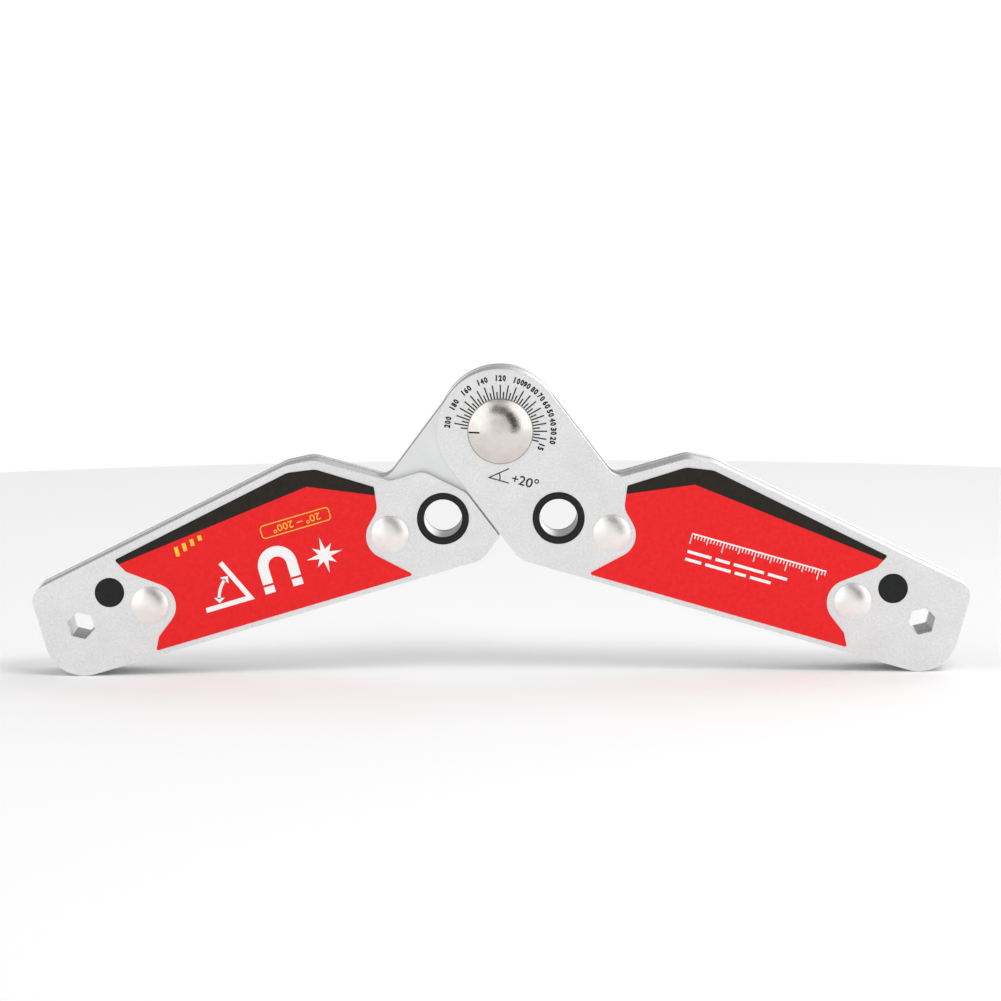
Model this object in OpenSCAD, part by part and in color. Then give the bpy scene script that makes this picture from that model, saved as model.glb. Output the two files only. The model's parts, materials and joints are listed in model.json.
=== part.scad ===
// Folding welding magnet holder: two flat magnetic arms on one friction pivot.
// The fork arm carries the dial and has two long outer plates. The tongue arm's core
// runs up between them, and the pivot rivet and its pointer turn with the tongue.
// Each arm is drawn flat, u along the working edge and v up from it, then stood upright:
// +X right, +Z up, front faces towards -Y. The origin is on the floor under the pivot, at
// mid thickness, with the holder fully open and standing on its two outer corners.

/* [Arms] */
// Slope of each working edge below level with the holder fully open
arm_tilt = 16.25; // [15:0.25:17]
// Length of an arm from the pivot axis to its outer end
arm_reach = 151; // [148:0.1:156]
// Height of the pivot axis above the working edge
pivot_height = 36; // [35.5:0.1:36.5]
// Outer radius of the hub round the pivot
hub_radius = 19; // [18.5:0.1:19.4]
// Slope of the two flanks of the link between hub and arm
link_slope = 36.8; // [36:0.1:37.5]
// Slope of the rise from the notch to the shoulder
rise_slope = 31.8; // [31:0.1:33]
// Distance of the shoulder along the arm, where the rise ends
shoulder_reach = 57; // [56:0.1:58]
// Height of the shoulder above the working edge
shoulder_height = 43.9; // [43.5:0.05:44.3]
// Distance of the highest point along the arm, where the taper starts
peak_reach = 65.3; // [64:0.1:67]
// Height of the highest point above the working edge
peak_height = 44.55; // [44.4:0.05:44.9]
// Taper of the upper working edge
taper = 10; // [9.5:0.1:10.5]
// Radius of the lower corner under the link
heel_radius = 7; // [4:0.5:8]
// Radius of the lower corner at the outer end
toe_radius = 12; // [8:0.5:12]
// Radius of the upper corner at the outer end
nose_radius = 4.5; // [2:0.5:6]
// Radius in the bottom of the notch
notch_radius = 5; // [3:0.5:6]

/* [Relief for the other arm's hub] */
// Gap between the two arms at the fully open stop
stop_gap = 0.5; // [0.4:0.1:0.8]
// Height of the level edge beside the relief
ledge_height = 31; // [30.5:0.1:31.5]
// Where the level edge starts, along the arm
ledge_start = 25.9; // [25:0.1:27]
// Slope of the edge between the level edge and the relief
ledge_slope = 42.8; // [40:0.1:45]

/* [Layers] */
// Thickness of each steel side plate
plate_thickness = 4; // [3:0.5:5]
// Thickness of the fork arm's core
fork_core_thickness = 12; // [10:0.5:14]
// How much thinner the tongue's core is, so that it can turn between the fork's plates
tongue_slack = 0.1; // [0.06:0.02:0.2]
// How far the cores' edges stand back from the plates' edges
core_inset = 0.3; // [0.2:0.1:0.6]

/* [Holes and rivets] */
// Height of the row of holes above the working edge
row_height = 15.5; // [15:0.1:16]
// Distance of the ring hole from the pivot axis, along the arm
ring_reach = 24.2; // [24:0.1:25]
// Diameter of the hole through the bush
bush_bore = 11.6; // [10:0.1:11.8]
// Outside diameter of the bush
bush_diameter = 13; // [12.6:0.1:13.2]
// Outside diameter of the black ring
ring_diameter = 15.6; // [15:0.1:16]
// Thickness of the black ring
ring_thickness = 2.2; // [2:0.1:2.6]
// Distance of the inner rivet along the arm
inner_rivet_reach = 41; // [40.5:0.1:41.5]
// Distance of the outer rivet along the arm
outer_rivet_reach = 117; // [116.5:0.1:117.5]
// Diameter of a rivet's shank
rivet_shank = 6; // [5:0.5:6.5]
// Diameter of a rivet's head
rivet_head = 11.3; // [10:0.1:12]
// Height of a rivet's head
rivet_head_height = 1.9; // [1.4:0.1:2.4]
// Distance of the black plug along the arm
plug_reach = 127.6; // [127:0.1:129]
// Height of the black plug above the working edge
plug_height = 22.7; // [22:0.1:23]
// Diameter of the black plug
plug_diameter = 8.8; // [8:0.1:9.4]
// Length of the black plug
plug_length = 6; // [4.5:0.5:9]
// Distance of the hexagonal hole along the arm
hex_reach = 138.8; // [138:0.1:139.4]
// Size of the hexagonal hole across its flats
hex_across_flats = 7.4; // [6:0.2:8.6]

/* [Pivot] */
// Diameter of the pivot rivet's shank
pivot_shank = 10; // [9:0.5:11]
// Size across the two flats that key the shank to the tongue
pivot_key = 8.6; // [8:0.1:8.8]
// Diameter of the pivot rivet's domed head
pivot_head = 19.8; // [18:0.1:20]
// Height of the domed head
pivot_head_height = 3.4; // [2.8:0.1:4]
// Diameter of the head formed at the back
pivot_tail = 15; // [13:0.5:17]
// Height of the head formed at the back
pivot_tail_height = 2.4; // [2:0.1:3]
// Diameter of the friction washers
washer_diameter = 30; // [24:0.5:32]
// Thickness of the friction washers
washer_thickness = 0.43; // [0.42:0.01:0.44]
// Depth of the tongue's seats for the friction washers
washer_seat = 0.4; // [0.4:0.01:0.41]
// Diameter of the disc spring
spring_diameter = 20; // [18:0.5:24]
// Thickness of the disc spring's steel
spring_thickness = 0.9; // [0.7:0.1:1.1]
// Height of the disc spring, pressed
spring_height = 1.4; // [1.2:0.1:1.6]

/* [Magnets] */
// Distance of the inner magnet's near end along the arm
inner_magnet_reach = 50.5; // [49:0.5:51]
// Distance of the outer magnet's near end along the arm
outer_magnet_reach = 80.5; // [79:0.5:82]
// Length of each magnet along the arm
magnet_length = 26.5; // [24:0.5:27]
// Height of the magnets' lower faces above the working edge
magnet_bottom = 4; // [3:0.5:5]
// Height of the inner magnet
inner_magnet_height = 32; // [28:0.5:33]
// Height of the outer magnet
outer_magnet_height = 29; // [26:0.5:30]

/* [Label] */
// Thickness of the printed label
label_thickness = 0.25; // [0.1:0.05:0.4]
// Height of the label's lower edge
label_bottom = 1.6; // [1.2:0.1:2.2]

/* [Hidden] */

// Gap round a fixed piece in its hole
fixed_gap = 0.05;
// Radial clearance of the pivot shank in the fork's plates
running_gap = 0.05;
// Gap that keeps two sliding faces apart
face_gap = 0.02;
// How far a cutting shape runs past the face it cuts
past = 1;
// Gap round each magnet in its pocket
magnet_gap = 0.2;
// Height of the straight rim under a domed head
head_rim = 0.4;
// How far rings and plugs stand proud of the plates
proud = 0.2;
// How far a rounding circle runs past the straight edges it joins, so that no sliver is left
seam = 0.003;
// Radii of the blunt corners at the peak and at the shoulder
peak_radius = 10;
shoulder_radius = 8;
// Radii beside the relief: at the foot of the rise, at both ends of the ledge's slope, and at its tip
step_radius = 5;
knee_radius = 4;
tip_radius = 0.6;
// Radii of the label's outer corners, of its blunt corners, of the bends beside its two narrow
// tips and of its scallop round each rivet
label_corner = 0.5;
label_blunt = 5;
label_upper_bend = 3;
label_lower_bend = 1.8;
inner_scallop = 7;
outer_scallop = 7.1;

$fn = 96;

pivot = [0, pivot_height];
shoulder = [shoulder_reach, shoulder_height];
peak = [peak_reach, peak_height];
flank_normal = [sin(link_slope), cos(link_slope)];
// Height of the pivot axis above the floor
pivot_level = (arm_reach - toe_radius) * sin(arm_tilt) + (pivot_height - toe_radius) * cos(arm_tilt)
    + toe_radius + seam;
fork_core_half = fork_core_thickness / 2;
tongue_core_half = (fork_core_thickness - tongue_slack) / 2;

ring_centre = [ring_reach, row_height];
inner_rivet_centre = [inner_rivet_reach, row_height];
outer_rivet_centre = [outer_rivet_reach, row_height];
plug_centre = [plug_reach, plug_height];
hex_centre = [hex_reach, row_height];
inner_magnet_corner = [inner_magnet_reach, magnet_bottom];
outer_magnet_corner = [outer_magnet_reach, magnet_bottom];
inner_magnet_size = [magnet_length, inner_magnet_height];
outer_magnet_size = [magnet_length, outer_magnet_height];

// Where the line through p at angle a meets the line through q at angle b
function meet(p, a, q, b) =
    p + [cos(a), sin(a)] * ((q.x - p.x) * sin(b) - (q.y - p.y) * cos(b)) / sin(b - a);

function flat(c) = [c.x, c.y];
function unit(v) = v / norm(v);
function left_of(v) = [-v.y, v.x];
function before(c, i) = flat(c[(i + len(c) - 1) % len(c)]);
function after(c, i) = flat(c[(i + 1) % len(c)]);

// Positive where the outline turns left, at a corner that points outwards
function turn(c, i) = cross(flat(c[i]) - before(c, i), after(c, i) - flat(c[i]));

// Half of the angle between the two edges at corner i
function half_angle(c, i) =
    acos(unit(before(c, i) - flat(c[i])) * unit(after(c, i) - flat(c[i]))) / 2;

// Centre of the arc that rounds corner i, and the two points where the arc starts and ends
function arc_centre(c, i) =
    flat(c[i]) + unit(unit(before(c, i) - flat(c[i])) + unit(after(c, i) - flat(c[i])))
    * c[i][2] / sin(half_angle(c, i));
function arc_start(c, i) =
    flat(c[i]) + unit(before(c, i) - flat(c[i])) * c[i][2] / tan(half_angle(c, i));
function arc_end(c, i) =
    flat(c[i]) + unit(after(c, i) - flat(c[i])) * c[i][2] / tan(half_angle(c, i));

// Corner i with both of its edges moved inwards by d
function moved_in(c, i, d) =
    let (n1 = left_of(unit(flat(c[i]) - before(c, i))),
         n2 = left_of(unit(after(c, i) - flat(c[i]))),
         p = flat(c[i]) + (n1 + n2) * d / (1 + n1 * n2),
         r = c[i][2] == 0 ? 0 : max(0.2, turn(c, i) > 0 ? c[i][2] - d : c[i][2] + d))
    [p.x, p.y, r];

// Closed outline from corners [u, v, radius], listed with the inside on the left. The whole circle
// that rounds an outward corner must lie inside the outline.
module rounded(c) {
    outward = [for (i = [0 : len(c) - 1]) if (c[i][2] > 0 && turn(c, i) > 0) i];
    inward = [for (i = [0 : len(c) - 1]) if (c[i][2] > 0 && turn(c, i) < 0) i];
    difference() {
        union() {
            polygon([for (i = [0 : len(c) - 1])
                for (p = c[i][2] > 0 ? [arc_start(c, i), arc_end(c, i)] : [flat(c[i])]) p]);
            for (i = outward)
                translate(arc_centre(c, i))
                    circle(c[i][2] + seam);
        }
        for (i = inward)
            translate(arc_centre(c, i))
                circle(c[i][2] + seam);
    }
}

// Corners that both outlines share: along the working edge, round the end and over the peak
hub_top = pivot + hub_radius * flank_normal;
hub_low = pivot - hub_radius * flank_normal;
heel = meet(hub_low, -link_slope, [0, 0], 0);
nose = meet(peak, -taper, [arm_reach, 0], 90);
shared_corners = [
    [heel.x, 0, heel_radius],
    [arm_reach, 0, toe_radius],
    [arm_reach, nose.y, nose_radius],
    [peak.x, peak.y, peak_radius],
    [shoulder.x, shoulder.y, shoulder_radius],
];

// The long outline goes on past the notch to the hub
notch = meet(hub_top, -link_slope, shoulder, rise_slope);
long_corners = concat(shared_corners, [
    [notch.x, notch.y, notch_radius],
    [hub_top.x, hub_top.y, 0],
    [hub_low.x, hub_low.y, 0],
]);

// The short outline is cut away for the other arm's hub: fully open, the straight
// relief edge lies along the other arm's lower flank and stops the arm
relief_slope = link_slope + 2 * arm_tilt;
relief_foot = pivot + (hub_radius + stop_gap) * [sin(relief_slope), -cos(relief_slope)];
step = meet([0, ledge_height], 0, shoulder, rise_slope);
knee = meet([ledge_start, ledge_height], ledge_slope, relief_foot, relief_slope);
tip = meet(hub_low, -link_slope, relief_foot, relief_slope);
short_corners = concat(shared_corners, [
    [step.x, step.y, step_radius],
    [ledge_start, ledge_height, knee_radius],
    [knee.x, knee.y, knee_radius],
    [tip.x, tip.y, tip_radius],
]);

module long_outline(inset = 0) {
    last = len(long_corners) - 1;
    moved = [for (i = [0 : last - 2]) moved_in(long_corners, i, inset)];
    top = pivot + (hub_radius - inset) * flank_normal;
    low = pivot - (hub_radius - inset) * flank_normal;
    rounded(concat(moved, [[top.x, top.y, 0], [low.x, low.y, 0]]));
    translate(pivot)
        circle(hub_radius - inset + seam);
}

module short_outline(inset = 0) {
    rounded([for (i = [0 : len(short_corners) - 1]) moved_in(short_corners, i, inset)]);
}

// Stand a flat fork arm upright on its side of the pivot
module fork_side() {
    translate([0, 0, pivot_level])
        rotate([90, 0, 0])
            rotate(-arm_tilt)
                translate([0, -pivot_height, 0])
                    children();
}

// The tongue arm is the mirror image
module tongue_side() {
    mirror([1, 0, 0])
        fork_side()
            children();
}

// The same piece at the back of the arm
module at_back() {
    mirror([0, 0, 1])
        children();
}

// Holes that go through plates and core alike
module arm_holes() {
    translate(ring_centre)
        circle(d = bush_diameter + 2 * fixed_gap);
    for (c = [inner_rivet_centre, outer_rivet_centre])
        translate(c)
            circle(d = rivet_shank + 2 * fixed_gap);
    translate(plug_centre)
        circle(d = plug_diameter + 2 * fixed_gap);
    translate(hex_centre)
        rotate(30)
            circle(r = hex_across_flats / 2 / cos(30), $fn = 6);
}

// A steel side plate, drawn with its inner face at z = 0 and the ring's seat in its outer face
module side_plate() {
    ring_seat = ring_thickness - proud;
    difference() {
        linear_extrude(plate_thickness)
            difference() {
                children();
                arm_holes();
            }
        translate([ring_centre.x, ring_centre.y, plate_thickness - ring_seat])
            cylinder(h = ring_seat + past, d = ring_diameter + 2 * fixed_gap);
    }
}

// A fork plate has the round bore that the pivot shank turns in
module fork_plate() {
    side_plate()
        difference() {
            long_outline();
            translate(pivot)
                circle(d = pivot_shank + 2 * running_gap);
        }
}

// Windows through a core for its two magnets
module magnet_pockets() {
    for (m = [[inner_magnet_corner, inner_magnet_size], [outer_magnet_corner, outer_magnet_size]])
        translate(m[0] - [magnet_gap, magnet_gap])
            square(m[1] + 2 * [magnet_gap, magnet_gap]);
}

module magnet(corner, size, thickness) {
    edge = 1;
    translate([0, 0, -thickness / 2])
        linear_extrude(thickness)
            translate(corner)
                rounded([[0, 0, edge], [size.x, 0, edge], [size.x, size.y, edge], [0, size.y, edge]]);
}

// The keyed section of the pivot shank: a circle with two flats
module keyed(gap) {
    intersection() {
        circle(d = pivot_shank + 2 * gap);
        square([2 * pivot_shank, pivot_key + 2 * gap], center = true);
    }
}

// A shallow dome on a short straight rim, its flat side at z = 0
module domed_head(diameter, height) {
    rise = height - head_rim;
    ball = (diameter * diameter / 4 + rise * rise) / (2 * rise);
    cylinder(h = head_rim, d = diameter);
    intersection() {
        translate([0, 0, height - ball])
            sphere(ball, $fn = 180);
        cylinder(h = height, d = diameter);
    }
}

// A rivet through the whole arm, headed at both faces
module arm_rivet(centre, core_half) {
    face = core_half + plate_thickness;
    translate(centre) {
        translate([0, 0, -face])
            cylinder(h = 2 * face, d = rivet_shank);
        translate([0, 0, face])
            domed_head(rivet_head, rivet_head_height);
        at_back()
            translate([0, 0, face])
                domed_head(rivet_head, rivet_head_height);
    }
}

// The bush lines the ring hole between the two black rings
module ring_bush(core_half) {
    half = core_half + plate_thickness - (ring_thickness - proud);
    translate([ring_centre.x, ring_centre.y, -half])
        difference() {
            cylinder(h = 2 * half, d = bush_diameter);
            translate([0, 0, -past])
                cylinder(h = 2 * (half + past), d = bush_bore);
        }
}

module black_ring(core_half) {
    edge = 0.4;
    outer = ring_diameter / 2;
    inner = bush_bore / 2;
    translate([ring_centre.x, ring_centre.y, core_half + plate_thickness + proud - ring_thickness])
        rotate_extrude()
            polygon([[inner, 0], [outer, 0], [outer, ring_thickness - edge], [outer - edge, ring_thickness],
                     [inner + edge, ring_thickness], [inner, ring_thickness - edge]]);
}

module plug(core_half) {
    edge = 0.4;
    radius = plug_diameter / 2;
    translate([plug_centre.x, plug_centre.y, core_half + plate_thickness + proud - plug_length])
        rotate_extrude()
            polygon([[0, 0], [radius - edge, 0], [radius, edge], [radius, plug_length - edge],
                     [radius - edge, plug_length], [0, plug_length]]);
}

module plugs(core_half) {
    plug(core_half);
    at_back()
        plug(core_half);
}

// The label follows the upper edges and is scalloped round the two rivets. Its corners are
// [u, v, radius], from the lower inner end out along the bottom and back along the top.
label_corners = [
    [37.5, label_bottom, label_corner],
    [119.2, label_bottom, label_corner],
    [117.1, 5.6, label_lower_bend],
    [104.4, 14.9, outer_scallop],
    [121, 27.4, label_upper_bend],
    [123.2, 31.8, label_corner],
    [65.3, 42.3, label_blunt],
    [57, 40.9, label_blunt],
    [41.5, 30.7, label_corner],
    [42.5, 23.7, label_blunt],
    [51.4, 15, inner_scallop],
];

module label(core_half) {
    translate([0, 0, core_half + plate_thickness])
        linear_extrude(label_thickness)
            rounded(label_corners);
}

// A friction washer turns with the tongue and rubs on one of the fork's plates
module friction_washer() {
    translate([pivot.x, pivot.y, tongue_core_half - washer_seat])
        difference() {
            cylinder(h = washer_thickness, d = washer_diameter);
            translate([0, 0, -past])
                cylinder(h = washer_thickness + 2 * past, d = pivot_shank + 4 * running_gap);
        }
}

module fork_front_plate() {
    color([0.87, 0.88, 0.88])
        fork_side()
            translate([0, 0, fork_core_half])
                fork_plate();
}

module fork_back_plate() {
    color([0.87, 0.88, 0.88])
        fork_side()
            at_back()
                translate([0, 0, fork_core_half])
                    fork_plate();
}

module fork_core() {
    color([0.78, 0.79, 0.80])
        fork_side()
            translate([0, 0, -fork_core_half])
                linear_extrude(fork_core_thickness)
                    difference() {
                        short_outline(core_inset);
                        arm_holes();
                        magnet_pockets();
                    }
}

module fork_inner_magnet() {
    color([0.24, 0.24, 0.26])
        fork_side()
            magnet(inner_magnet_corner, inner_magnet_size, fork_core_thickness - 2 * face_gap);
}

module fork_outer_magnet() {
    color([0.24, 0.24, 0.26])
        fork_side()
            magnet(outer_magnet_corner, outer_magnet_size, fork_core_thickness - 2 * face_gap);
}

module fork_ring_bush() {
    color([0.85, 0.85, 0.86])
        fork_side()
            ring_bush(fork_core_half);
}

module fork_front_ring() {
    color([0.16, 0.17, 0.17])
        fork_side()
            black_ring(fork_core_half);
}

module fork_back_ring() {
    color([0.16, 0.17, 0.17])
        fork_side()
            at_back()
                black_ring(fork_core_half);
}

module fork_inner_rivet() {
    color([0.90, 0.87, 0.84])
        fork_side()
            arm_rivet(inner_rivet_centre, fork_core_half);
}

module fork_outer_rivet() {
    color([0.90, 0.87, 0.84])
        fork_side()
            arm_rivet(outer_rivet_centre, fork_core_half);
}

module fork_plugs() {
    color([0.16, 0.17, 0.17])
        fork_side()
            plugs(fork_core_half);
}

module fork_label() {
    color([0.93, 0.20, 0.21])
        fork_side()
            label(fork_core_half);
}

module tongue_front_plate() {
    color([0.87, 0.88, 0.88])
        tongue_side()
            translate([0, 0, tongue_core_half])
                side_plate()
                    short_outline();
}

module tongue_back_plate() {
    color([0.87, 0.88, 0.88])
        tongue_side()
            at_back()
                translate([0, 0, tongue_core_half])
                    side_plate()
                        short_outline();
}

// The tongue arm's core reaches up to the hub, where it is keyed to the pivot rivet
module tongue_core() {
    seat = washer_seat + past;
    color([0.78, 0.79, 0.80])
        tongue_side()
            difference() {
                translate([0, 0, -tongue_core_half])
                    linear_extrude(2 * tongue_core_half)
                        difference() {
                            long_outline(core_inset);
                            arm_holes();
                            magnet_pockets();
                            translate(pivot)
                                keyed(fixed_gap);
                        }
                for (z = [tongue_core_half - washer_seat, -tongue_core_half + washer_seat - seat])
                    translate([pivot.x, pivot.y, z])
                        cylinder(h = seat, d = washer_diameter + 2 * fixed_gap);
            }
}

module tongue_inner_magnet() {
    color([0.24, 0.24, 0.26])
        tongue_side()
            magnet(inner_magnet_corner, inner_magnet_size, 2 * (tongue_core_half - face_gap));
}

module tongue_outer_magnet() {
    color([0.24, 0.24, 0.26])
        tongue_side()
            magnet(outer_magnet_corner, outer_magnet_size, 2 * (tongue_core_half - face_gap));
}

module tongue_ring_bush() {
    color([0.85, 0.85, 0.86])
        tongue_side()
            ring_bush(tongue_core_half);
}

module tongue_front_ring() {
    color([0.16, 0.17, 0.17])
        tongue_side()
            black_ring(tongue_core_half);
}

module tongue_back_ring() {
    color([0.16, 0.17, 0.17])
        tongue_side()
            at_back()
                black_ring(tongue_core_half);
}

module tongue_inner_rivet() {
    color([0.90, 0.87, 0.84])
        tongue_side()
            arm_rivet(inner_rivet_centre, tongue_core_half);
}

module tongue_outer_rivet() {
    color([0.90, 0.87, 0.84])
        tongue_side()
            arm_rivet(outer_rivet_centre, tongue_core_half);
}

module tongue_plugs() {
    color([0.16, 0.17, 0.17])
        tongue_side()
            plugs(tongue_core_half);
}

module tongue_label() {
    color([0.93, 0.20, 0.21])
        tongue_side()
            label(tongue_core_half);
}

// Round where it turns in the fork's plates, flatted where it is keyed to the tongue
module pivot_rivet() {
    key_half = tongue_core_half - washer_seat;
    face = fork_core_half + plate_thickness;
    front_seat = face + face_gap;
    rear_seat = face + face_gap + spring_height + face_gap;
    color([0.90, 0.87, 0.84])
        tongue_side()
            translate(pivot) {
                translate([0, 0, -key_half])
                    linear_extrude(2 * key_half)
                        keyed(0);
                translate([0, 0, key_half])
                    cylinder(h = front_seat - key_half, d = pivot_shank);
                translate([0, 0, front_seat])
                    domed_head(pivot_head, pivot_head_height);
                at_back()
                    translate([0, 0, key_half])
                        cylinder(h = rear_seat - key_half, d = pivot_shank);
                at_back()
                    translate([0, 0, rear_seat])
                        domed_head(pivot_tail, pivot_tail_height);
            }
}

module front_friction_washer() {
    color([0.80, 0.62, 0.30])
        tongue_side()
            friction_washer();
}

module rear_friction_washer() {
    color([0.80, 0.62, 0.30])
        tongue_side()
            at_back()
                friction_washer();
}

// A coned spring washer under the rear head keeps the joint stiff
module disc_spring() {
    inner = pivot_shank / 2 + 2 * running_gap;
    outer = spring_diameter / 2;
    color([0.55, 0.56, 0.58])
        tongue_side()
            at_back()
                translate([pivot.x, pivot.y, fork_core_half + plate_thickness + face_gap])
                    rotate_extrude()
                        polygon([[inner, spring_height - spring_thickness], [outer, 0],
                                 [outer, spring_thickness], [inner, spring_height]]);
}

fork_front_plate();
fork_back_plate();
fork_core();
fork_inner_magnet();
fork_outer_magnet();
fork_ring_bush();
fork_front_ring();
fork_back_ring();
fork_inner_rivet();
fork_outer_rivet();
fork_plugs();
fork_label();
tongue_front_plate();
tongue_back_plate();
tongue_core();
tongue_inner_magnet();
tongue_outer_magnet();
tongue_ring_bush();
tongue_front_ring();
tongue_back_ring();
tongue_inner_rivet();
tongue_outer_rivet();
tongue_plugs();
tongue_label();
pivot_rivet();
front_friction_washer();
rear_friction_washer();
disc_spring();
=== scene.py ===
import json
import math

import bmesh
import bpy
from mathutils import Euler, Matrix, Vector


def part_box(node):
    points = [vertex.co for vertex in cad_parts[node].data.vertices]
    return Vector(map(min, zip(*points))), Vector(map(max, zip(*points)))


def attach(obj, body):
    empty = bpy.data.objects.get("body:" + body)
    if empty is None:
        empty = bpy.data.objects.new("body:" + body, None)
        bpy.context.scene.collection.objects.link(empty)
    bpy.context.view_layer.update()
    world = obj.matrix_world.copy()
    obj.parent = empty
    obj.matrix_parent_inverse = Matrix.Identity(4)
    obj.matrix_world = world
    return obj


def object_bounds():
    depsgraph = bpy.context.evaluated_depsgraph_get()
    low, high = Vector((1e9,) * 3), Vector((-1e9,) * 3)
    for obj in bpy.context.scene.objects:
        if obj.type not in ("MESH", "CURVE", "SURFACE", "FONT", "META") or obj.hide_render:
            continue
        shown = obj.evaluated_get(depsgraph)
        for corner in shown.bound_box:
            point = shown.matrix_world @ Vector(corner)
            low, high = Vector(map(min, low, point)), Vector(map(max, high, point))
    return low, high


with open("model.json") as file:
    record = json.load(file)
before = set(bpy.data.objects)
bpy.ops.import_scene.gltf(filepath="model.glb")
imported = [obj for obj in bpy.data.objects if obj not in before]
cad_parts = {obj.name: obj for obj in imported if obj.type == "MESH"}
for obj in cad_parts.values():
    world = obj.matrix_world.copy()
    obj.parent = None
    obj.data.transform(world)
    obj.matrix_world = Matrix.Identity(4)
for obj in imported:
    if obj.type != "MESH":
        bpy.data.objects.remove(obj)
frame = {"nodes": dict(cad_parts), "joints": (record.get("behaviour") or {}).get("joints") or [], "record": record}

# Looks of a folding welding magnet holder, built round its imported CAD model. All sizes are in
# millimetres times MM. An arm has its own flat coordinates: u along its working edge from the
# foot under the pivot, v up from the edge. A dial angle is counted from +X towards +Z.

MM = 0.001
cad_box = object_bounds()
cad = frame["nodes"]
record = frame["record"]
mounts = {m["name"]: m for m in record["mounts"]}
pivot = Vector(frame["joints"][0]["pos_m"])


# ---------------------------------------------------------------- places on the holder

class Arm:
    """Flat coordinates of one arm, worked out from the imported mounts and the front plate."""

    def __init__(self, name):
        shaded_edge = mounts[name + "_working_edge"]
        ring = Vector(mounts[name + "_ring_hole"]["pos_m"])
        hexagon = Vector(mounts[name + "_hex_hole"]["pos_m"])
        self.body = name + "_arm"
        self.along = (hexagon - ring).normalized()
        self.up = -Vector(shaded_edge["axis"]).normalized()
        drop = (Vector(shaded_edge["pos_m"]) - pivot).dot(self.up)
        self.foot = pivot + self.up * drop
        self.plate_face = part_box(name + "_front_plate")[0].y
        self.label_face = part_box(name + "_label")[0].y
        self.tilt = math.degrees(math.atan2(self.along.z, self.along.x))

    def at(self, u, v, y):
        """The point at u and v, in millimetres, on the plane at depth y, in metres."""
        point = self.foot + self.along * (u * MM) + self.up * (v * MM)
        return Vector((point.x, y, point.z))


fork = Arm("fork")
tongue = Arm("tongue")


def across_front(angle):
    """The unit vector that points at an angle, in degrees from +X towards +Z."""
    turn = math.radians(angle)
    return Vector((math.cos(turn), 0, math.sin(turn)))


def on_dial(radius, angle):
    """A point on the fork's front face, radius in millimetres from the pivot, angle in degrees."""
    point = pivot + across_front(angle) * (radius * MM)
    return Vector((point.x, fork.plate_face, point.z))


# ---------------------------------------------------------------- shader helpers

def node(tree, kind, **values):
    """A new shader node. A keyword is a property of the node or the name of one of its inputs."""
    made = tree.nodes.new(kind)
    for key, value in values.items():
        if hasattr(made, key):
            setattr(made, key, value)
        else:
            made.inputs[key.replace("_", " ")].default_value = value
    return made


def link(tree, source, target):
    tree.links.new(source, target)


def noise(tree, coordinates, scale, detail, roughness):
    """Noise from 0 to 1. scale is in repeats per metre."""
    made = node(tree, "ShaderNodeTexNoise", Scale=scale, Detail=detail, Roughness=roughness)
    link(tree, coordinates, made.inputs["Vector"])
    return made.outputs["Fac"]


def remap(tree, value, low, high, to_low, to_high, smooth=False):
    """Takes low to high onto to_low to to_high, and holds the end values outside that range."""
    made = node(tree, "ShaderNodeMapRange")
    made.interpolation_type = "SMOOTHSTEP" if smooth else "LINEAR"
    for name, number in zip(("From Min", "From Max", "To Min", "To Max"), (low, high, to_low, to_high)):
        made.inputs[name].default_value = number
    link(tree, value, made.inputs["Value"])
    return made.outputs["Result"]


def maths(tree, operation, first, second=0.0):
    """A sum in the tree. first and second are numbers or output sockets."""
    made = node(tree, "ShaderNodeMath", operation=operation)
    for socket, value in zip(made.inputs, (first, second)):
        if isinstance(value, (int, float)):
            socket.default_value = value
        else:
            link(tree, value, socket)
    return made.outputs["Value"]


def blend_colors(tree, share, first, second):
    """first where share is 0, second where it is 1. Each is an RGB tuple or an output socket."""
    made = node(tree, "ShaderNodeMix", data_type="RGBA")
    link(tree, share, made.inputs["Factor"])
    for socket, value in ((made.inputs[6], first), (made.inputs[7], second)):
        if isinstance(value, tuple):
            socket.default_value = (*value, 1.0)
        else:
            link(tree, value, socket)
    return made.outputs[2]


def dot_with(tree, coordinates, direction):
    """How far the coordinates reach along a direction, in units of its length."""
    made = node(tree, "ShaderNodeVectorMath", operation="DOT_PRODUCT")
    link(tree, coordinates, made.inputs[0])
    made.inputs[1].default_value = direction
    return made.outputs["Value"]


def offset_from(tree, place, origin):
    """The place counted from an origin."""
    made = node(tree, "ShaderNodeVectorMath", operation="SUBTRACT")
    link(tree, place, made.inputs[0])
    made.inputs[1].default_value = origin
    return made.outputs["Vector"]


def stretched(tree, place, scale):
    """The place with each axis scaled, for marks that a tool draws out along one direction."""
    made = node(tree, "ShaderNodeMapping")
    made.inputs["Scale"].default_value = scale
    link(tree, place, made.inputs["Vector"])
    return made.outputs["Vector"]


def from_axis(tree, place, centre):
    """Millimetres between a place and the axis through a centre along Y."""
    offset = offset_from(tree, place, centre)
    squares = []
    for axis in (Vector((1, 0, 0)), Vector((0, 0, 1))):
        reach = dot_with(tree, offset, axis / MM)
        squares.append(maths(tree, "MULTIPLY", reach, reach))
    return maths(tree, "SQRT", maths(tree, "ADD", *squares))


def new_material(name):
    """A material with its tree, its shader node and the coordinates fixed to the object."""
    made = bpy.data.materials.new(name)
    made.use_nodes = True
    tree = made.node_tree
    shader = tree.nodes["Principled BSDF"]
    place = node(tree, "ShaderNodeTexCoord").outputs["Object"]
    return made, tree, shader, place


def bump(tree, shader, height, distance):
    """Raises the surface by the distance, in metres, where height is 1."""
    made = node(tree, "ShaderNodeBump", Distance=distance, Strength=1.0)
    link(tree, height, made.inputs["Height"])
    link(tree, made.outputs["Normal"], shader.inputs["Normal"])


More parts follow.
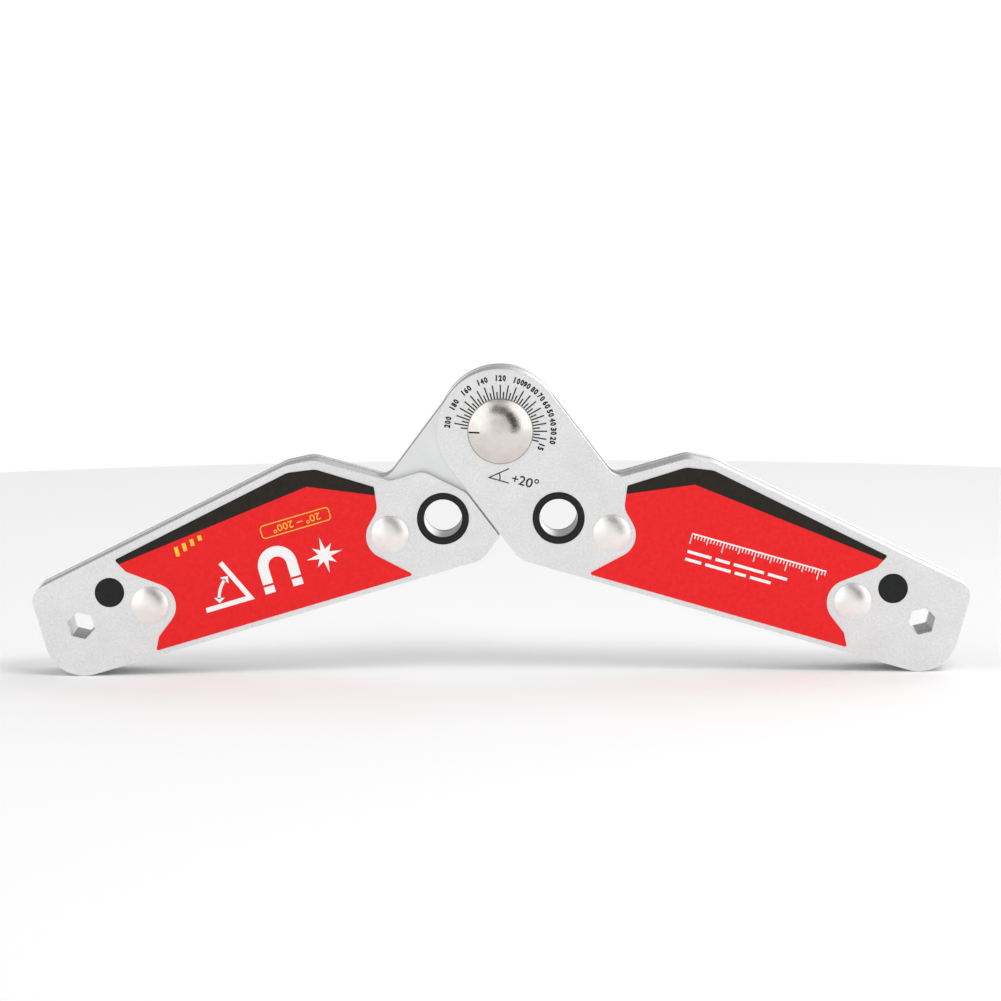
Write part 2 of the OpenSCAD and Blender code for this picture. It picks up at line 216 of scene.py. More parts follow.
# ---------------------------------------------------------------- materials

def flatness(tree):
    """1 on a flat face of an arm, 0 on the surfaces that run round its outline."""
    normal = node(tree, "ShaderNodeNewGeometry").outputs["Normal"]
    return maths(tree, "ABSOLUTE", dot_with(tree, normal, Vector((0, 1, 0))))


def edge_share(tree):
    """0 on a flat face of an arm, 1 on the surfaces that run round its outline."""
    return remap(tree, flatness(tree), 0.35, 0.85, 1, 0, smooth=True)


# A circle round each hexagonal hole that clears its corners
HEX_SURROUND = 4.7


def dulled_in_hex_holes(tree, place, color):
    """The color, with painted shade darkening the walls of the two hexagonal holes."""
    centres = [Vector(mounts[name]["pos_m"]) for name in ("fork_hex_hole", "tongue_hex_hole")]
    distances = [from_axis(tree, place, centre) for centre in centres]
    inside = remap(tree, maths(tree, "MINIMUM", *distances), HEX_SURROUND, HEX_SURROUND + 0.1, 1, 0)
    shaded_hole_walls = maths(tree, "MULTIPLY", inside, edge_share(tree))
    # Painted shade on the hole walls.
    return blend_colors(tree, shaded_hole_walls, color, (0.34, 0.345, 0.35))


def zinc_plate():
    """Bright zinc plating: pale, satin, with a fine frosted grain and faint clouding. The cut edge
    is smoother and painted darker as shade, and the broken edge between the two is painted bright as a highlight."""
    made, tree, shader, place = new_material("zinc_plated_steel")
    clouds = noise(tree, place, 90, 4, 0.6)
    grain = noise(tree, place, 1500, 2, 0.6)
    mixed = maths(tree, "ADD", maths(tree, "MULTIPLY", clouds, 0.35), maths(tree, "MULTIPLY", grain, 0.65))
    share = remap(tree, mixed, 0.35, 0.65, 0, 1)
    face = blend_colors(tree, share, (0.76, 0.765, 0.765), (0.90, 0.905, 0.905))
    # Painted shade: the cut edge's colour is darker than the face's.
    shaded_edge = blend_colors(tree, share, (0.58, 0.585, 0.59), (0.70, 0.705, 0.71))
    share_of_edge = edge_share(tree)
    color = dulled_in_hex_holes(tree, place, blend_colors(tree, share_of_edge, face, shaded_edge))
    # Painted highlight: the bevel band between the cut edge and the face is painted near white.
    flat = flatness(tree)
    past_edge = remap(tree, flat, 0.45, 0.6, 0, 1)
    before_face = remap(tree, flat, 0.88, 0.96, 1, 0)
    painted_bevel_highlight = maths(tree, "MULTIPLY", past_edge, before_face)
    link(tree, blend_colors(tree, painted_bevel_highlight, color, (0.97, 0.97, 0.97)), shader.inputs["Base Color"])
    roughness = remap(tree, mixed, 0.35, 0.65, 0.42, 0.54)
    smoother = maths(tree, "SUBTRACT", 1.0, maths(tree, "MULTIPLY", share_of_edge, 0.45))
    link(tree, maths(tree, "MULTIPLY", roughness, smoother), shader.inputs["Roughness"])
    shader.inputs["Metallic"].default_value = 1.0
    bump(tree, shader, grain, 0.00006)
    return made


def core_metal():
    """The core: fine milling lines along the arm over a satin grey, pale on the flat faces and painted darker as
    shade on the surfaces that run round its outline.
    """
    made, tree, shader, place = new_material("core_alloy")
    lines = noise(tree, stretched(tree, place, (0.15, 6.0, 0.15)), 420, 3, 0.6)
    share = remap(tree, lines, 0.3, 0.7, 0, 1)
    face = blend_colors(tree, share, (0.76, 0.765, 0.77), (0.86, 0.865, 0.87))
    # Painted shade: the surfaces round the outline are darker than the faces.
    shaded_edge = blend_colors(tree, share, (0.46, 0.465, 0.47), (0.60, 0.605, 0.61))
    color = dulled_in_hex_holes(tree, place, blend_colors(tree, edge_share(tree), face, shaded_edge))
    link(tree, color, shader.inputs["Base Color"])
    link(tree, remap(tree, lines, 0.3, 0.7, 0.26, 0.38), shader.inputs["Roughness"])
    shader.inputs["Metallic"].default_value = 1.0
    bump(tree, shader, lines, 0.00003)
    return made


def nickel(name, roughness, dark, light, rim=None):
    """Warm nickel plating with faint blotches and the small dents that a rivet set leaves. rim is
    the radius about the pivot, in millimetres, where a thin dark line of painted shadow runs round the head."""
    made, tree, shader, place = new_material(name)
    blotches = noise(tree, place, 380, 4, 0.62)
    grain = noise(tree, place, 2600, 2, 0.5)
    share = remap(tree, blotches, 0.3, 0.7, 0, 1)
    color = blend_colors(tree, share, dark, light)
    if rim is not None:
        # Painted shadow: the outermost ring of the head is painted dark, where the head meets the plate.
        painted_rim_shadow = remap(tree, from_axis(tree, place, pivot), rim - 0.14, rim - 0.02, 0, 1)
        color = blend_colors(tree, painted_rim_shadow, color, (0.22, 0.21, 0.19))
    link(tree, color, shader.inputs["Base Color"])
    uneven = remap(tree, blotches, 0.3, 0.7, roughness - 0.05, roughness + 0.05)
    link(tree, uneven, shader.inputs["Roughness"])
    shader.inputs["Metallic"].default_value = 1.0
    dents = maths(tree, "ADD", blotches, maths(tree, "MULTIPLY", grain, 0.2))
    bump(tree, shader, dents, 0.00006)
    return made


def bush_metal():
    """The turned bore of a bush, with fine rings left by the tool."""
    made, tree, shader, place = new_material("bush_steel")
    rings = noise(tree, stretched(tree, place, (0.2, 8.0, 0.2)), 500, 2, 0.5)
    share = remap(tree, rings, 0.3, 0.7, 0, 1)
    color = blend_colors(tree, share, (0.40, 0.40, 0.405), (0.52, 0.52, 0.525))
    link(tree, color, shader.inputs["Base Color"])
    link(tree, remap(tree, rings, 0.3, 0.7, 0.24, 0.36), shader.inputs["Roughness"])
    shader.inputs["Metallic"].default_value = 1.0
    bump(tree, shader, rings, 0.00002)
    return made


def black_plastic():
    """Moulded black plastic, nearly smooth, with a soft sheen."""
    made, tree, shader, place = new_material("black_plastic")
    grain = noise(tree, place, 1800, 3, 0.6)
    share = remap(tree, grain, 0.3, 0.7, 0, 1)
    color = blend_colors(tree, share, (0.009, 0.010, 0.010), (0.016, 0.017, 0.017))
    link(tree, color, shader.inputs["Base Color"])
    link(tree, remap(tree, grain, 0.3, 0.7, 0.42, 0.55), shader.inputs["Roughness"])
    shader.inputs["Specular IOR Level"].default_value = 0.2
    bump(tree, shader, grain, 0.00002)
    return made


# Where the label's black band meets the red, in an arm's coordinates: the line rises from the inner
# end and falls to the outer end
BAND_START = (41.7, 28.1)
BAND_TOP = (61.0, 36.6)
BAND_END = (123.0, 30.1)


def printed_vinyl(arm):
    """Semi-gloss vinyl printed red, with a black band along the upper edge of its own arm."""
    made, tree, shader, place = new_material("printed_vinyl_" + arm.body)
    offset = offset_from(tree, place, arm.foot)
    u = dot_with(tree, offset, arm.along / MM)
    v = dot_with(tree, offset, arm.up / MM)

    def line(start, end):
        """The height of the line through two points, at each place's u."""
        slope = (end[1] - start[1]) / (end[0] - start[0])
        return maths(tree, "ADD", maths(tree, "MULTIPLY", u, slope), start[1] - slope * start[0])

    border = maths(tree, "MINIMUM", line(BAND_START, BAND_TOP), line(BAND_TOP, BAND_END))
    band = remap(tree, maths(tree, "SUBTRACT", v, border), -0.05, 0.05, 0, 1)
    fibres = noise(tree, place, 700, 3, 0.6)
    share = remap(tree, fibres, 0.3, 0.7, 0, 1)
    red = blend_colors(tree, share, (0.76, 0.012, 0.014), (0.83, 0.020, 0.022))
    black = blend_colors(tree, share, (0.015, 0.012, 0.009), (0.022, 0.018, 0.014))
    link(tree, blend_colors(tree, band, red, black), shader.inputs["Base Color"])
    link(tree, remap(tree, fibres, 0.3, 0.7, 0.4, 0.5), shader.inputs["Roughness"])
    shader.inputs["Specular IOR Level"].default_value = 0.17
    bump(tree, shader, fibres, 0.00001)
    return made


def ferrite():
    """Ground ferrite: dark grey, matt, with a fine gritty grain."""
    made, tree, shader, place = new_material("ferrite")
    grit = noise(tree, place, 2200, 4, 0.7)
    share = remap(tree, grit, 0.3, 0.7, 0, 1)
    color = blend_colors(tree, share, (0.045, 0.045, 0.05), (0.085, 0.085, 0.09))
    link(tree, color, shader.inputs["Base Color"])
    link(tree, remap(tree, grit, 0.3, 0.7, 0.55, 0.75), shader.inputs["Roughness"])
    bump(tree, shader, grit, 0.00004)
    return made


def rolled_metal(name, dark, light, roughness):
    """Thin rolled sheet for washers and springs: faint oily clouds over a satin metal."""
    made, tree, shader, place = new_material(name)
    clouds = noise(tree, place, 600, 4, 0.6)
    share = remap(tree, clouds, 0.3, 0.7, 0, 1)
    link(tree, blend_colors(tree, share, dark, light), shader.inputs["Base Color"])
    uneven = remap(tree, clouds, 0.3, 0.7, roughness - 0.06, roughness + 0.06)
    link(tree, uneven, shader.inputs["Roughness"])
    shader.inputs["Metallic"].default_value = 1.0
    bump(tree, shader, clouds, 0.00002)
    return made


def ink(name, dark, light, roughness):
    """Printed or etched marks, slightly uneven in tone."""
    made, tree, shader, place = new_material(name)
    specks = noise(tree, place, 2500, 3, 0.6)
    share = remap(tree, specks, 0.3, 0.7, 0, 1)
    link(tree, blend_colors(tree, share, dark, light), shader.inputs["Base Color"])
    uneven = remap(tree, specks, 0.3, 0.7, roughness - 0.05, roughness + 0.05)
    link(tree, uneven, shader.inputs["Roughness"])
    shader.inputs["Specular IOR Level"].default_value = 0.08
    return made


def dress(names, material):
    """Gives CAD nodes a material in place of the plain one that they came with."""
    for name in names:
        slots = cad[name].data.materials
        slots.clear()
        slots.append(material)


def of_both_arms(*parts):
    """The names of the nodes that hold these parts on the fork and on the tongue."""
    return [arm + "_" + part for arm in ("fork", "tongue") for part in parts]


dress(of_both_arms("front_plate", "back_plate"), zinc_plate())
dress(of_both_arms("core"), core_metal())
tumbled = nickel("nickel_tumbled", 0.34, (0.85, 0.82, 0.80), (0.95, 0.92, 0.90))
polished = nickel("nickel_polished", 0.19, (0.67, 0.63, 0.595), (0.77, 0.73, 0.695), rim=9.8)
dress(of_both_arms("inner_rivet", "outer_rivet"), tumbled)
dress(["pivot_rivet"], polished)
dress(of_both_arms("ring_bush"), bush_metal())
dress(of_both_arms("front_ring", "back_ring", "plugs"), black_plastic())
dress(of_both_arms("inner_magnet", "outer_magnet"), ferrite())
dress(["fork_label"], printed_vinyl(fork))
dress(["tongue_label"], printed_vinyl(tongue))
bronze = rolled_metal("washer_bronze", (0.50, 0.33, 0.13), (0.68, 0.47, 0.2), 0.35)
spring_steel = rolled_metal("spring_steel", (0.30, 0.31, 0.32), (0.42, 0.43, 0.44), 0.3)
dress(["front_friction_washer", "rear_friction_washer"], bronze)
dress(["disc_spring"], spring_steel)


# ---------------------------------------------------------------- edges of the CAD pieces

def soften_edges(name, width, has_dome=False):
    """Rounds a CAD node's sharp edges by a width in millimetres, with modifiers that leave its mesh as
    packed. The flat faces of a node without a dome are first merged."""
    part = cad[name]
    for layer in ("custom_normal", "sharp_edge", "sharp_face"):
        if layer in part.data.attributes:
            part.data.attributes.remove(part.data.attributes[layer])
    part.data.shade_smooth()
    weld = part.modifiers.new("weld", "WELD")
    weld.merge_threshold = 0.001 * MM
    if not has_dome:
        flats = part.modifiers.new("flats", "DECIMATE")
        flats.decimate_type = "DISSOLVE"
        flats.angle_limit = math.radians(0.5)
    edges = part.modifiers.new("edges", "BEVEL")
    edges.width = width * MM
    edges.segments = 3
    edges.limit_method = "ANGLE"
    edges.angle_limit = math.radians(35)
    edges.harden_normals = True
    edges.use_clamp_overlap = True


for plate in of_both_arms("front_plate", "back_plate"):
    soften_edges(plate, 0.42)
for core in of_both_arms("core"):
    soften_edges(core, 0.2)
for rivet in of_both_arms("inner_rivet", "outer_rivet") + ["pivot_rivet"]:
    soften_edges(rivet, 0.08, has_dome=True)


# ---------------------------------------------------------------- marks

# How far a mark stands out of the face that it lies on, and how deep it sits in that face
INK_HEIGHT = 0.03
INK_DEPTH = 0.01


def object_of(shape, name, material):
    """A new object in the scene, made from a bmesh that is then freed."""
    data = bpy.data.meshes.new(name)
    shape.to_mesh(data)
    shape.free()
    data.materials.append(material)
    made = bpy.data.objects.new(name, data)
    bpy.context.scene.collection.objects.link(made)
    return made


class Marks:
    """Collects thin raised shapes on the front of one arm into one piece. Widths, radii and heights
    are in millimetres, angles in degrees in the front view."""

    def __init__(self, arm, face):
        self.arm = arm
        self.face = face
        self.mesh = bmesh.new()

    def prism(self, points, inner=None):
        """A thin prism over a flat outline of front-view points. inner is the outline of a hole in it,
        with as many points."""
        top_y = self.face - INK_HEIGHT * MM
        low_y = self.face + INK_DEPTH * MM
        loops = [points] if inner is None else [points, inner]
        rings = []
        for loop in loops:
            rings.append([[self.mesh.verts.new((p.x, y, p.z)) for p in loop] for y in (top_y, low_y)])
        count = len(points)
        for top, low in rings:
            for i in range(count):
                j = (i + 1) % count
                self.mesh.faces.new((top[i], top[j], low[j], low[i]))
        if inner is None:
            self.mesh.faces.new(rings[0][0])
            self.mesh.faces.new(rings[0][1])
        else:
            for level in (0, 1):
                outside, inside = rings[0][level], rings[1][level]
                for i in range(count):
                    j = (i + 1) % count
                    self.mesh.faces.new((outside[i], outside[j], inside[j], inside[i]))

    def bar(self, start, end, width):
        """A straight stroke between two points."""
        side = (end - start).normalized().cross(Vector((0, 1, 0))) * (width * MM / 2)
        self.prism([start + side, end + side, end - side, start - side])

    def chevron(self, vertex, first_tip, second_tip, width):
        """Two strokes from a common vertex as one outline, the second anticlockwise of the first."""
        first = (first_tip - vertex).normalized()
        second = (second_tip - vertex).normalized()
        half = width * MM / 2
        side_of_first = Vector((-first.z, 0, first.x)) * half
        side_of_second = Vector((-second.z, 0, second.x)) * half
        mitre = (first + second).normalized() * (half / math.sin(first.angle(second) / 2))
        self.prism([vertex - mitre, first_tip - side_of_first, first_tip + side_of_first, vertex + mitre,
                    second_tip - side_of_second, second_tip + side_of_second])

    def rims(self, centre, radius, width, turns):
        """The outer and the inner rim of a stroke about centre, with a point at each of the turns."""
        radii = ((radius + width / 2) * MM, (radius - width / 2) * MM)
        return [[centre + across_front(turn) * reach for turn in turns] for reach in radii]

    def band(self, centre, radius, width, first, last, steps):
        """A stroke along an arc about centre, from the first angle to the last."""
        turns = [first + (last - first) * i / steps for i in range(steps + 1)]
        outside, inside = self.rims(centre, radius, width, turns)
        self.prism(outside + inside[::-1])

    def ring(self, centre, radius, width, steps=32):
        """A stroke round a full circle about centre."""
        turns = [360 * i / steps for i in range(steps)]
        outside, inside = self.rims(centre, radius, width, turns)
        self.prism(outside, inside)

    def figures(self, body, centre, height, pitch, turn, weight=0.0):
        """A row of figures of one height, each centred on its own step of the pitch."""
        step = across_front(turn) * (pitch * MM)
        for i, figure in enumerate(body):
            width = pitch * (0.36 if figure == "1" else 0.86)
            self.text(figure, centre + step * (i - (len(body) - 1) / 2), height, width, turn, weight)

    def text(self, body, centre, height, width, turn, weight=0.0):
        """Characters in Blender's own font, made to fit a height and a width and turned about their
        centre. weight thickens their strokes, as a share of the font's size."""
        curve = bpy.data.curves.new("figures", "FONT")
        curve.body = body
        curve.resolution_u = 4
        curve.offset = weight
        letters = bpy.data.objects.new("figures", curve)
        bpy.context.scene.collection.objects.link(letters)
        bpy.context.view_layer.update()
        flat = bpy.data.meshes.new_from_object(letters.evaluated_get(bpy.context.evaluated_depsgraph_get()))
        bpy.data.objects.remove(letters)
        xs = [v.co.x for v in flat.vertices]
        ys = [v.co.y for v in flat.vertices]
        stretch_x = width * MM / (max(xs) - min(xs))
        stretch_y = height * MM / (max(ys) - min(ys))
        rightwards = across_front(turn)
        upwards = across_front(turn + 90)
        shape = bmesh.new()
        shape.from_mesh(flat)
        bpy.data.meshes.remove(flat)
        for vertex in shape.verts:
            x = (vertex.co.x - (max(xs) + min(xs)) / 2) * stretch_x
            y = (vertex.co.y - (max(ys) + min(ys)) / 2) * stretch_y
            vertex.co = centre + rightwards * x + upwards * y
            vertex.co.y = self.face + INK_DEPTH * MM
        raised = bmesh.ops.extrude_face_region(shape, geom=list(shape.faces))
        for item in raised["geom"]:
            if isinstance(item, bmesh.types.BMVert):
                item.co.y = self.face - INK_HEIGHT * MM
        copy = bpy.data.meshes.new("copy")
        shape.to_mesh(copy)
        shape.free()
        self.mesh.from_mesh(copy)
        bpy.data.meshes.remove(copy)

    def finish(self, name, material):
        """Turns the collected shapes into a piece that rides on the arm."""
        bmesh.ops.remove_doubles(self.mesh, verts=self.mesh.verts, dist=1e-7)
        bmesh.ops.recalc_face_normals(self.mesh, faces=self.mesh.faces)
        piece = object_of(self.mesh, name, material)
        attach(piece, self.arm.body)


etched = ink("etched_black", (0.010, 0.009, 0.008), (0.022, 0.019, 0.016), 0.5)
etched_brown = ink("etched_brown", (0.035, 0.022, 0.014), (0.07, 0.045, 0.03), 0.5)
white_ink = ink("white_ink", (0.86, 0.85, 0.85), (0.93, 0.92, 0.92), 0.5)
yellow_ink = ink("yellow_ink", (0.86, 0.52, 0.045), (0.93, 0.6, 0.07), 0.5)

# The dial has a tick for each 5 degrees of opening between the arms' working edges
FIRST_READING = 15
LAST_READING = 205
READING_STEP = 5
# Reading that lies straight to the right of the pivot
LEVEL_READING = 30.25
TICK_START = 9.95
LONG_TICK_END = 14.1
SHORT_TICK_END = 12.0
TICK_WIDTH = 0.4
FIGURE_RADIUS = 16.1
FIGURE_HEIGHT = 1.85
FIGURE_PITCH = 1.2
FIGURE_WEIGHT = 0.055


def dial_ticks():
    """Long ticks each 10 degrees, short ones between them."""
    marks = Marks(fork, fork.plate_face)
    for reading in range(FIRST_READING, LAST_READING + 1, READING_STEP):
        angle = reading - LEVEL_READING
        end = LONG_TICK_END if reading % 10 == 0 else SHORT_TICK_END
        marks.bar(on_dial(TICK_START, angle), on_dial(end, angle), TICK_WIDTH)
    marks.finish("dial_ticks", etched)


def dial_figures():
    """Readings whose feet point at the pivot. The first one stands nearer to it, below its tick."""
    marks = Marks(fork, fork.plate_face)
    places = [(reading, FIGURE_RADIUS, reading - LEVEL_READING)
              for reading in (*range(20, 101, 10), *range(120, 201, 20))]
    places.append((FIRST_READING, 13.2, -21.0))
    for reading, radius, angle in places:
        centre = on_dial(radius, angle)
        marks.figures(str(reading), centre, FIGURE_HEIGHT, FIGURE_PITCH, angle - 90, FIGURE_WEIGHT)
    marks.finish("dial_figures", etched)


def angle_mark():
    """The angle symbol and the 20 degrees that the tapered edges add."""
    face = fork.plate_face
    stroke = 0.36
    u, v = 0.6, 21.6
    lower_reach = 6.2
    upper_reach = 5.1
    upper_rise = 4.3
    vertex = fork.at(u, v, face)
    lower_tip = fork.at(u + lower_reach, v, face)
    upper_tip = fork.at(u + upper_reach, v + upper_rise, face)
    marks = Marks(fork, face)
    marks.chevron(vertex, lower_tip, upper_tip, stroke)
    radius = 3.3
    trim = math.degrees(stroke / 2 / radius)
    opening = math.degrees(math.atan2(upper_rise, upper_reach))
    marks.band(vertex, radius, stroke, fork.tilt + trim, fork.tilt + opening - trim, 12)
    middle = 23.4
    characters = (("+", 8.3, 1.9, 1.9), ("2", 10.5, 2.9, 1.9), ("0", 12.7, 2.9, 2.1))
    for character, reach, height, width in characters:
        marks.text(character, fork.at(reach, middle, face), height, width, fork.tilt, 0.012)
    marks.ring(fork.at(14.75, middle + 1, face), 0.55, stroke)
    marks.finish("angle_mark", etched_brown)


dial_ticks()
dial_figures()
angle_mark()


# ---------------------------------------------------------------- prints on the labels

def rounded_loop(arm, low, high, radius, inset, face, steps=6):
    """The outline of a rounded rectangle in an arm's coordinates, moved inwards by inset."""
    left, right = low[0] + radius, high[0] - radius
    bottom, top = low[1] + radius, high[1] - radius
    bend = radius - inset
    loop = []
    for u, v, start in ((right, top, 0), (left, top, 90), (left, bottom, 180), (right, bottom, 270)):
        for i in range(steps + 1):
            turn = math.radians(start + 90 * i / steps)
            loop.append(arm.at(u + bend * math.cos(turn), v + bend * math.sin(turn), face))
    return loop


def range_plate():
    """Yellow: a rounded frame with the range of angles, and four bars that grow. The print is upright
    with the tongue folded over, so the tops of its figures point towards the working edge."""
    face = tongue.label_face
    marks = Marks(tongue, face)
    low = (56.5, 24.9)
    high = (78.3, 29.1)
    radius = 1.2
    stroke = 0.28
    outside = rounded_loop(tongue, low, high, radius, 0, face)
    inside = rounded_loop(tongue, low, high, radius, stroke, face)
    marks.prism(outside, inside)
    middle = 27.0
    height = 2.1
    pitch = 1.75
    for body, figures_at, degree_at in (("20", 61.2, 63.6), ("200", 70.6, 73.9)):
        marks.figures(body, tongue.at(figures_at, middle, face), height, pitch, tongue.tilt)
        marks.ring(tongue.at(degree_at, middle - 0.75, face), 0.4, 0.22, 20)
    marks.bar(tongue.at(65.2, middle, face), tongue.at(67.0, middle, face), stroke)
    for i in range(4):
        u = 96.5 + 2.6 * i
        marks.bar(tongue.at(u, 31.7 - 0.46 * i, face), tongue.at(u, 30.1 - 0.9 * i, face), 1.2)
    marks.finish("tongue_print_yellow", yellow_ink)


def magnet_icon(marks, u, v, face):
    """A horseshoe magnet with its legs towards the working edge of the tongue."""
    radius = 4.4
    width = 3.2
    leg = 4.6
    gap = 0.7
    tip = 2.2
    marks.band(tongue.at(u, v, face), radius, width, tongue.tilt, tongue.tilt - 180, 24)
    for side in (-radius, radius):
        for start, end in ((0, leg), (leg + gap, leg + gap + tip)):
            marks.bar(tongue.at(u + side, v - start, face), tongue.at(u + side, v - end, face), width)


def angle_icon(marks, u, v, face):
    """Two arms 66 degrees apart, with an arc between them that has an arrowhead at each end."""
    reach = 14.0
    opening = 66.0
    width = 1.5
    radius = 9.5

    def polar(distance, degrees):
        """The point at a distance from the corner, turned up from the working edge's direction."""
        turn = math.radians(degrees)
        return tongue.at(u + distance * math.cos(turn), v + distance * math.sin(turn), face)

    marks.chevron(polar(0, 0), polar(reach, opening), polar(reach, 0), width)
    steps = 16
    margin = 14.0
    turns = [margin + (opening - 2 * margin) * i / steps for i in range(steps + 1)]
    outside = [polar(radius + 0.45, turn) for turn in turns]
    inside = [polar(radius - 0.45, turn) for turn in turns]
    marks.prism(outside + inside[::-1])
    for tip, base in ((6, 16), (opening - 6, opening - 16)):
        marks.prism([polar(radius, tip), polar(radius + 1.6, base), polar(radius - 1.6, base)])


def spark_icon(marks, u, v, face):
    """A spark with eight points, every second one shorter, and a notch between each two."""
    reaches = (5.6, 1.9, 4.2, 1.9)
    corners = 16
    loop = []
    for i in range(corners):
        reach = reaches[i % 4]
        turn = 2 * math.pi * i / corners
        loop.append(tongue.at(u + reach * math.cos(turn), v + reach * math.sin(turn), face))
    marks.prism(loop)


def tongue_icons():
    """White pictograms: a spark, a magnet and an angle."""
    face = tongue.label_face
    marks = Marks(tongue, face)
    spark_icon(marks, 61.8, 15.1, face)
    magnet_icon(marks, 76.3, 16.1, face)
    angle_icon(marks, 87.0, 9.1, face)
    marks.finish("tongue_print_white", white_ink)


def fork_rule():
    """White: a short rule marked in millimetres, over two rows of dashes."""
    face = fork.label_face
    marks = Marks(fork, face)
    start = 64.5
    length = 42
    line = 22.1
    half = 0.22
    stroke = 0.3
    first = fork.at(start - stroke / 2, line, face)
    last = fork.at(start + length + stroke / 2, line, face)
    marks.bar(first, last, 2 * half)
    for i in range(length + 1):
        tall = 3.2 if i % 10 == 0 else 2.2 if i % 5 == 0 else 1.4
        marks.bar(fork.at(start + i, line - half, face), fork.at(start + i, line - tall, face), stroke)
    for v, dashes in ((16.5, (7.5, 4.5, 9.5, 6.0)), (14.1, (5.0, 8.0, 3.5, 6.5))):
        u = start
        for dash in dashes:
            marks.bar(fork.at(u, v, face), fork.at(u + dash, v, face), 0.9)
            u += dash + 1.3
    marks.finish("fork_print_white", white_ink)


range_plate()
tongue_icons()
fork_rule()


# ---------------------------------------------------------------- the pointer on the pivot's dome

def pointer():
    """A thin black line on the dome. It follows the dome's curve and turns with the tongue."""
    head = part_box("pivot_rivet")
    head_radius = (head[1].x - head[0].x) / 2
    head_front = head[0].y
    # The straight rim under the dome, with the gap below it
    rim = 0.42 * MM
    rise = fork.plate_face - rim - head_front
    ball = (head_radius ** 2 + rise ** 2) / (2 * rise)
    inner = 6.3 * MM
    outer = 9.6 * MM
    half_width = 0.26 * MM
    lift = 0.025 * MM
    level = pivot.z - 0.2 * MM
    steps = 12
    shape = bmesh.new()
    rows = []
    for i in range(steps + 1):
        reach = inner + (outer - inner) * i / steps
        row = []
        for z, out in ((half_width, lift), (-half_width, lift), (-half_width, -lift), (half_width, -lift)):
            y = head_front + ball - math.sqrt((ball + out) ** 2 - reach ** 2 - z ** 2)
            row.append(shape.verts.new((pivot.x - reach, y, level + z)))
        rows.append(row)
    for near, far in zip(rows, rows[1:]):
        for i in range(4):
            j = (i + 1) % 4
            shape.faces.new((near[i], near[j], far[j], far[i]))
    shape.faces.new(rows[0])
    shape.faces.new(rows[-1])
    bmesh.ops.recalc_face_normals(shape, faces=shape.faces)
    piece = object_of(shape, "pointer_line", etched)
    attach(piece, tongue.body)


pointer()


# ---------------------------------------------------------------- floor, light and camera

# The floor's size, and how far it lies below the holder, in metres
FLOOR_RADIUS = 0.62
FLOOR_GAP = 0.05 * MM


def floor():
    """A plain pale disc just below the holder."""
    pale, _, shader, _ = new_material("pale_floor")
    shader.inputs["Base Color"].default_value = (0.98, 0.98, 0.98, 1.0)
    shader.inputs["Roughness"].default_value = 0.9
    shader.inputs["Specular IOR Level"].default_value = 0.1
    shape = bmesh.new()
    bmesh.ops.create_circle(shape, cap_ends=True, segments=96, radius=FLOOR_RADIUS)
    disc = object_of(shape, "floor", pale)
    disc.location.z = cad_box[0].z - FLOOR_GAP


def facing(side, rise):
    """A direction from the dial side, turned side degrees to the right and raised by rise degrees."""
    turn = math.radians(side)
    lift = math.radians(rise)
    level = math.cos(lift)
    return Vector((math.sin(turn) * level, -math.cos(turn) * level, math.sin(lift)))


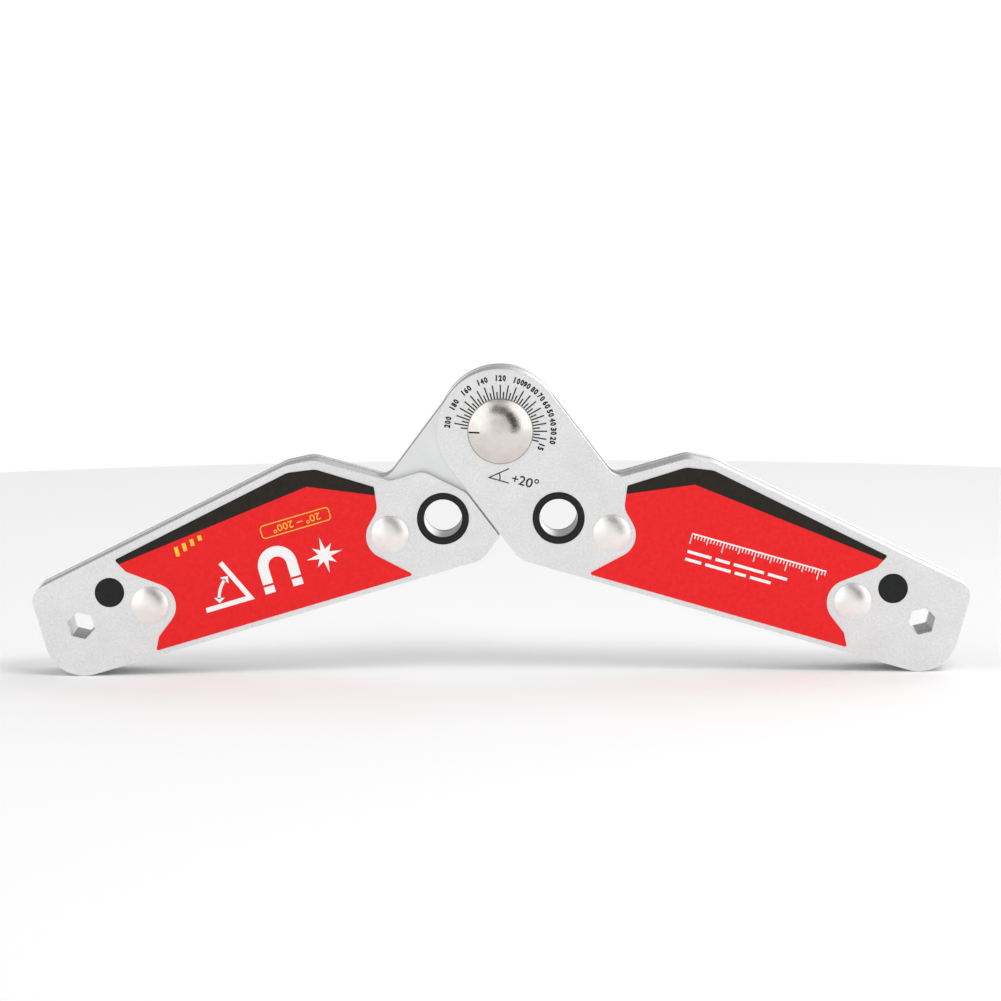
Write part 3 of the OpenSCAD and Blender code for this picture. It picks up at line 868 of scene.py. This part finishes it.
def studio():
    """A white room: dimmer straight ahead, dark overhead, dull behind on the left and bright in a
    band behind on the right. Broad panels stand at the right and the upper left. A dark gap runs
    round the inside of the right panel, as an arc about a point a little to the left of the camera."""
    world = bpy.data.worlds.new("studio")
    bpy.context.scene.world = world
    world.use_nodes = True
    tree = world.node_tree
    background = tree.nodes["Background"]
    direction = node(tree, "ShaderNodeTexCoord").outputs["Generated"]

    def away_from(towards):
        """Degrees between the ray and a direction."""
        angle = maths(tree, "ARCCOSINE", dot_with(tree, direction, towards))
        return maths(tree, "MULTIPLY", angle, 180 / math.pi)

    def patch(towards, inner, outer, amount):
        """amount within inner degrees of a direction, fading to nothing at outer degrees."""
        return remap(tree, away_from(towards), inner, outer, amount, 0, smooth=True)

    def darker_by(light, share):
        return maths(tree, "MULTIPLY", light, maths(tree, "SUBTRACT", 1.0, share))

    ahead = facing(0, 8)
    overhead = facing(0, 90)
    right_panel = facing(52, 26)
    left_panel = facing(-44, 26)
    light = darker_by(1.21, patch(ahead, 4, 36, 0.34))
    light = darker_by(light, patch(overhead, 24, 44, 0.85))
    light = maths(tree, "ADD", light, patch(right_panel, 18, 34, 0.3))
    light = maths(tree, "ADD", light, patch(left_panel, 10, 30, 0.2))

    behind = remap(tree, dot_with(tree, direction, Vector((0, 1, 0))), 0.0, 0.45, 0, 1, smooth=True)
    to_right = dot_with(tree, direction, Vector((1, 0, 0)))
    brighter = remap(tree, to_right, 0.0, 0.25, -0.6, 0.8, smooth=True)
    past_band = remap(tree, to_right, 0.4, 0.7, 0, 1.0, smooth=True)
    gain = maths(tree, "MULTIPLY", behind, maths(tree, "SUBTRACT", brighter, past_band))
    light = maths(tree, "MULTIPLY", light, maths(tree, "ADD", gain, 1.0))

    arc_centre = facing(-12, -1)
    arc_radius = 42.0
    from_arc = maths(tree, "ABSOLUTE", maths(tree, "SUBTRACT", away_from(arc_centre), arc_radius))
    arc = remap(tree, from_arc, 4, 15, 0.96, 0, smooth=True)
    arc_part = patch(facing(17, 26), 26, 46, 1.0)
    light = darker_by(light, maths(tree, "MULTIPLY", arc, arc_part))

    # The camera itself sees white wherever the room is dimmer than that
    seen = node(tree, "ShaderNodeLightPath").outputs["Is Camera Ray"]
    link(tree, maths(tree, "MAXIMUM", light, seen), background.inputs["Strength"])
    background.inputs["Color"].default_value = (1, 1, 1, 1)


def key_light():
    """A large soft panel above, to the right and in front."""
    data = bpy.data.lights.new("key", "AREA")
    data.shape = "RECTANGLE"
    data.size = 0.7
    data.size_y = 0.5
    data.energy = 4.3
    lamp = bpy.data.objects.new("key", data)
    towards = facing(40, 55)
    lamp.location = pivot + towards * 1.2
    lamp.rotation_mode = "QUATERNION"
    lamp.rotation_quaternion = (-towards).to_track_quat("-Z", "Y")
    lamp.visible_glossy = False
    bpy.context.scene.collection.objects.link(lamp)


# The camera's place, its turns in degrees, and its focal length on a film 36 mm wide
CAMERA_FROM_PIVOT = Vector((2.1, -1358.0, 130.6)) * MM
CAMERA_PITCH = -6.417
CAMERA_YAW = -0.092
CAMERA_ROLL = -0.32
CAMERA_LENS = 161.3


def camera():
    """Looks at the dial side from a little above."""
    data = bpy.data.cameras.new("camera")
    data.lens = CAMERA_LENS
    data.sensor_width = 36.0
    data.clip_start = 0.05
    data.clip_end = 100.0
    made = bpy.data.objects.new("camera", data)
    look = Euler((math.radians(90 + CAMERA_PITCH), 0, math.radians(-CAMERA_YAW))).to_matrix().to_4x4()
    place = Matrix.Translation(pivot + CAMERA_FROM_PIVOT)
    made.matrix_world = place @ look @ Matrix.Rotation(math.radians(CAMERA_ROLL), 4, "Z")
    bpy.context.scene.collection.objects.link(made)
    bpy.context.scene.camera = made


floor()
studio()
key_light()
camera()
bpy.context.scene.view_settings.view_transform = "Standard"
